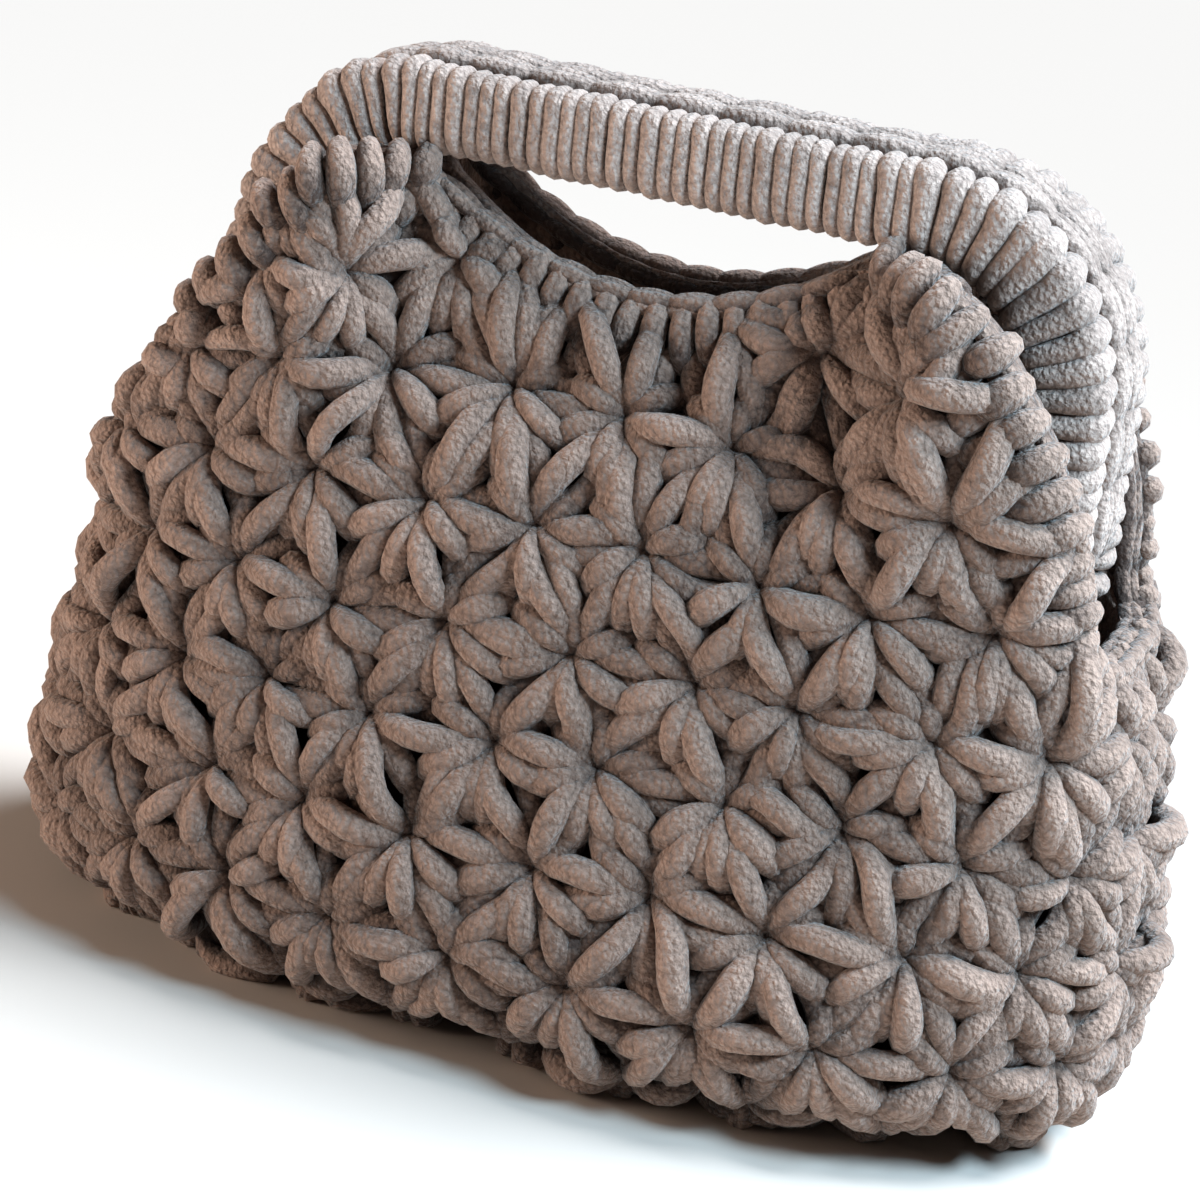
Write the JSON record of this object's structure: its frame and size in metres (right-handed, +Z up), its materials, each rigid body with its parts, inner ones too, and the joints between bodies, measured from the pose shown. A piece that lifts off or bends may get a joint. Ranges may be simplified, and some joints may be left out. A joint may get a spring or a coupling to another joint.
{
  "type": "crochet handbag",
  "caption": "Roomy crocheted handbag with a flat base, narrowing panels, wound rigid top handles and chain-edged hand slots.",
  "frame": {"origin": "centre of the flat base on the floor, under the middle of the bounding box", "axes": "+X along the bag's width, +Y from the front panel to the back panel, +Z up"},
  "size_m": [0.3218, 0.1599, 0.252],
  "materials": {
    "body_yarn": "matte",
    "handle_yarn": "matte",
    "chain_yarn": "matte"
  },
  "bodies": {
    "root": {"bag_body": "body_yarn", "handle_front": "handle_yarn", "handle_back": "handle_yarn", "handle_chain_front": "chain_yarn", "handle_chain_back": "chain_yarn", "slot_rim_front": "chain_yarn", "slot_rim_back": "chain_yarn"}
  },
  "joints": []
}
